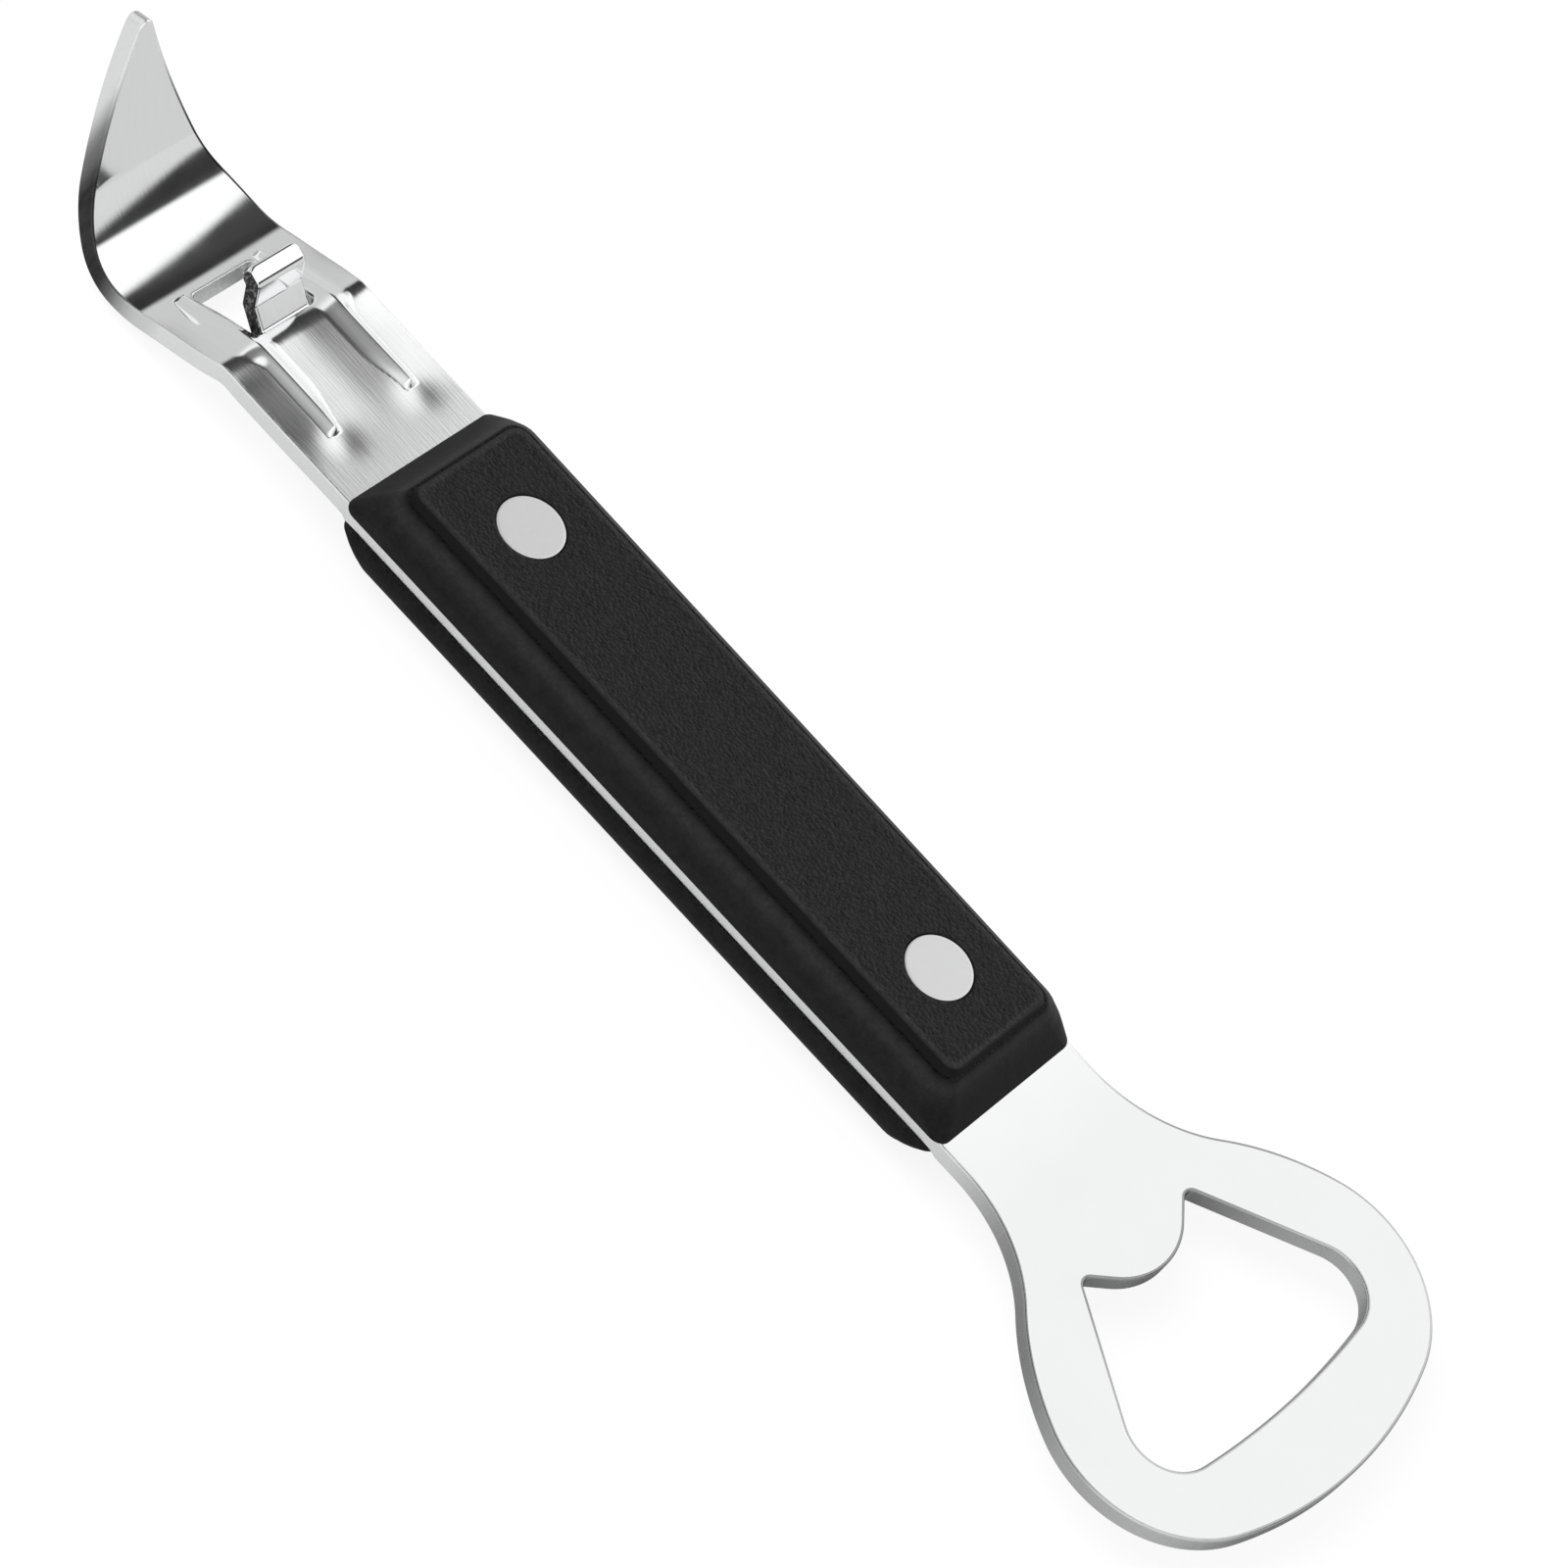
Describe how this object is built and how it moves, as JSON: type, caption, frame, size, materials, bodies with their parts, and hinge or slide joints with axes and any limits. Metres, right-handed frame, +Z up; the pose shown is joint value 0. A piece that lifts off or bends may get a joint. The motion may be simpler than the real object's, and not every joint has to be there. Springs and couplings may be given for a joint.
{
  "type": "manual can opener",
  "caption": "Rigid can punch and cap lifter: one steel blade, folded to a point at one end and opening into a ring at the other, between two riveted plastic handle scales.",
  "frame": {"origin": "middle of the back scale's flat outer face, which the tool lies on", "axes": "+X along the tool from the punch to the cap lifter, +Z up out of the front scale, +Y across the handle"},
  "size_m": [0.1787, 0.0482, 0.0219],
  "materials": {
    "steel": "polished stainless sheet, brushed lengthwise on the flats",
    "plastic": "black, moulded with a fine leathery grain on the outer face",
    "rivet": "plain matt, flush with the handle"
  },
  "bodies": {
    "root": {"blade": "steel", "front_scale": "plastic", "back_scale": "plastic", "rivet_tube_punch_end": "rivet", "rivet_pin_punch_end": "rivet", "rivet_tube_lifter_end": "rivet", "rivet_pin_lifter_end": "rivet"}
  },
  "joints": []
}
